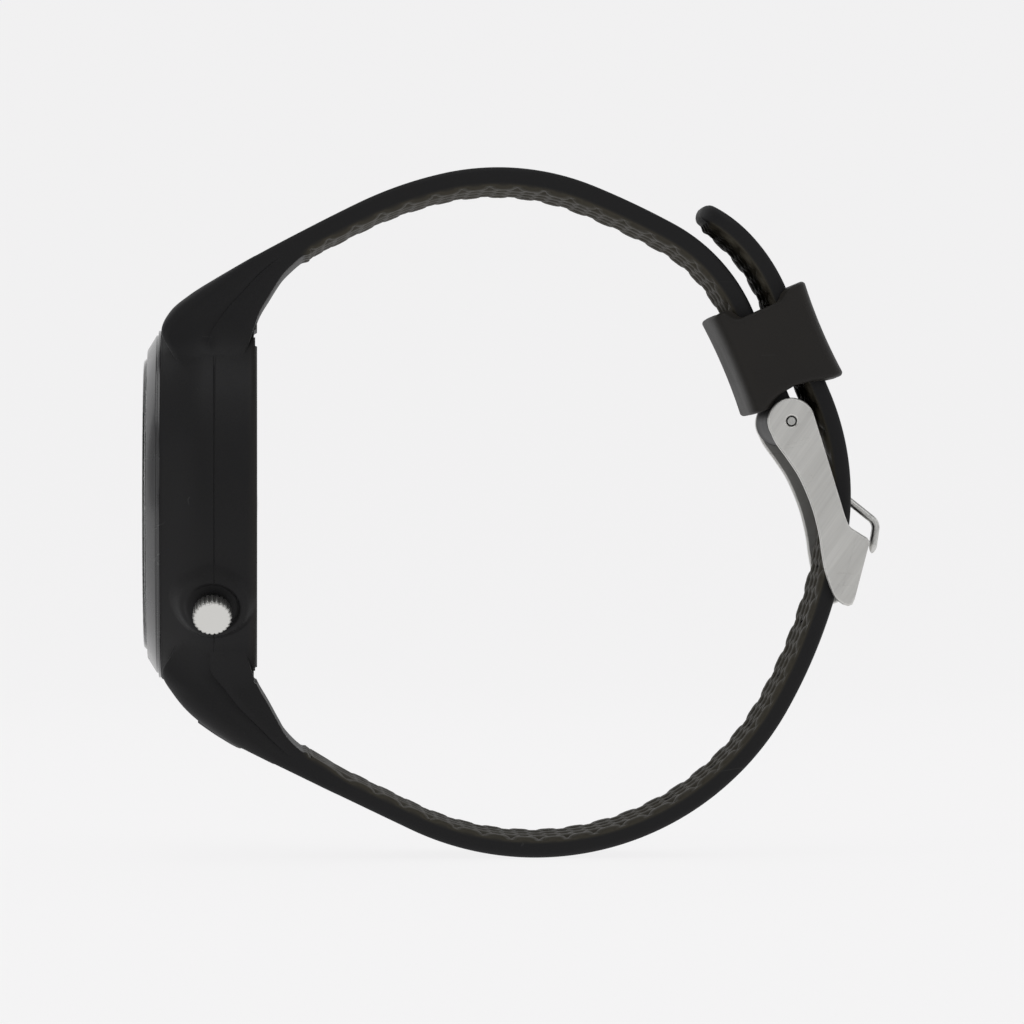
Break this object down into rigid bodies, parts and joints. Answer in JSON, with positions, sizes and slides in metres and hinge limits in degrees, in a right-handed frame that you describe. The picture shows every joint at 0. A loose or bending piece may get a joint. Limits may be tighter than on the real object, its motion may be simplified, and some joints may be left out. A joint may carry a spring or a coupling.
{
  "type": "wrist tracker with silicone band",
  "caption": "Round wrist tracker in a one-piece silicone band, closed on a pin buckle with a wide keeper, with a knurled push crown.",
  "frame": {"origin": "centre of the wrist opening, midway across the band", "axes": "+X along the loop's axis towards the crown side, +Y from the face towards the buckle, +Z towards 12 o'clock"},
  "size_m": [0.0427, 0.0791, 0.0735],
  "materials": {
    "band_silicone": "matte moulded black silicone",
    "keeper_silicone": "matte moulded black silicone",
    "steel_brushed": "brushed stainless",
    "steel_polished": "polished stainless",
    "steel_plain": "plain turned stainless",
    "bezel_black": "glossy black coated steel",
    "crystal": "clear hardened glass",
    "seal_rubber": "black nitrile rubber",
    "dial_black": "satin black ring with printed ticks",
    "display": "dark display glass",
    "housing_black": "glass-filled black plastic",
    "board_green": "solder-masked circuit board",
    "chip_black": "moulded chip",
    "flex_amber": "polyimide flex",
    "battery_silver": "battery can",
    "contact_gold": "gold-plated contact",
    "sensor_glass": "dark tinted sensor window"
  },
  "bodies": {
    "band": {"silicone_band": "band_silicone", "module_case": "housing_black", "bezel_ring": "bezel_black", "lens": "crystal", "lens_gasket": "seal_rubber", "dial_ring": "dial_black", "display_panel": "display", "display_frame": "housing_black", "display_flex": "flex_amber", "main_board": "board_green", "processor_chip": "chip_black", "radio_chip": "chip_black", "motion_chip": "chip_black", "board_connector": "chip_black", "board_screws": "steel_plain", "battery_cell": "battery_silver", "battery_tabs": "contact_gold", "battery_tray": "housing_black", "motor_case": "steel_plain", "motor_shaft": "steel_plain", "case_back": "steel_brushed", "case_back_gasket": "seal_rubber", "case_back_screws": "steel_plain", "sensor_window": "sensor_glass", "sensor_board": "board_green", "charge_pins": "contact_gold", "crown_tube": "steel_plain", "crown_switch": "housing_black", "crown_spring": "steel_plain", "spring_bar_tube": "steel_plain", "spring_bar_pins": "steel_plain", "spring_bar_spring": "steel_plain"},
    "crown_slide": {"stem_collar": "steel_plain", "switch_plunger": "housing_black"},
    "crown": {"crown_cap": "steel_polished", "crown_stem": "steel_plain", "crown_seals": "seal_rubber", "stem_clip": "steel_plain"},
    "keeper": {"strap_keeper": "keeper_silicone"},
    "buckle": {"buckle_frame": "steel_brushed"},
    "tang": {"buckle_tang": "steel_brushed"},
    "rotor": {"motor_rotor": "steel_plain"}
  },
  "joints": [
    {"name": "crown_press", "type": "slide", "parent": "band", "child": "crown_slide", "axis": [-0.866, 0, 0.5], "range_m": [0, 0.0004], "stiffness_N_per_m": 6000, "springref_m": -0.0001},
    {"name": "crown_spin", "type": "hinge", "parent": "crown_slide", "child": "crown", "pos_m": [0, -0.0321, 0.00085], "axis": [0.866, 0, -0.5], "continuous": true},
    {"name": "keeper_slide", "type": "slide", "parent": "band", "child": "keeper", "axis": [0, -0.3907, 0.9205], "range_m": [0, 0.002]},
    {"name": "buckle_swing", "type": "hinge", "parent": "band", "child": "buckle", "pos_m": [0, 0.02937, 0.00966], "axis": [1, 0, 0], "range_deg": [0, 2.5]},
    {"name": "tang_swing", "type": "hinge", "parent": "buckle", "child": "tang", "pos_m": [0, 0.02937, 0.00966], "axis": [1, 0, 0], "range_deg": [0, 2.5]},
    {"name": "motor_spin", "type": "hinge", "parent": "band", "child": "rotor", "pos_m": [0, -0.0318, -0.01055], "axis": [0, 1, 0], "continuous": true}
  ]
}
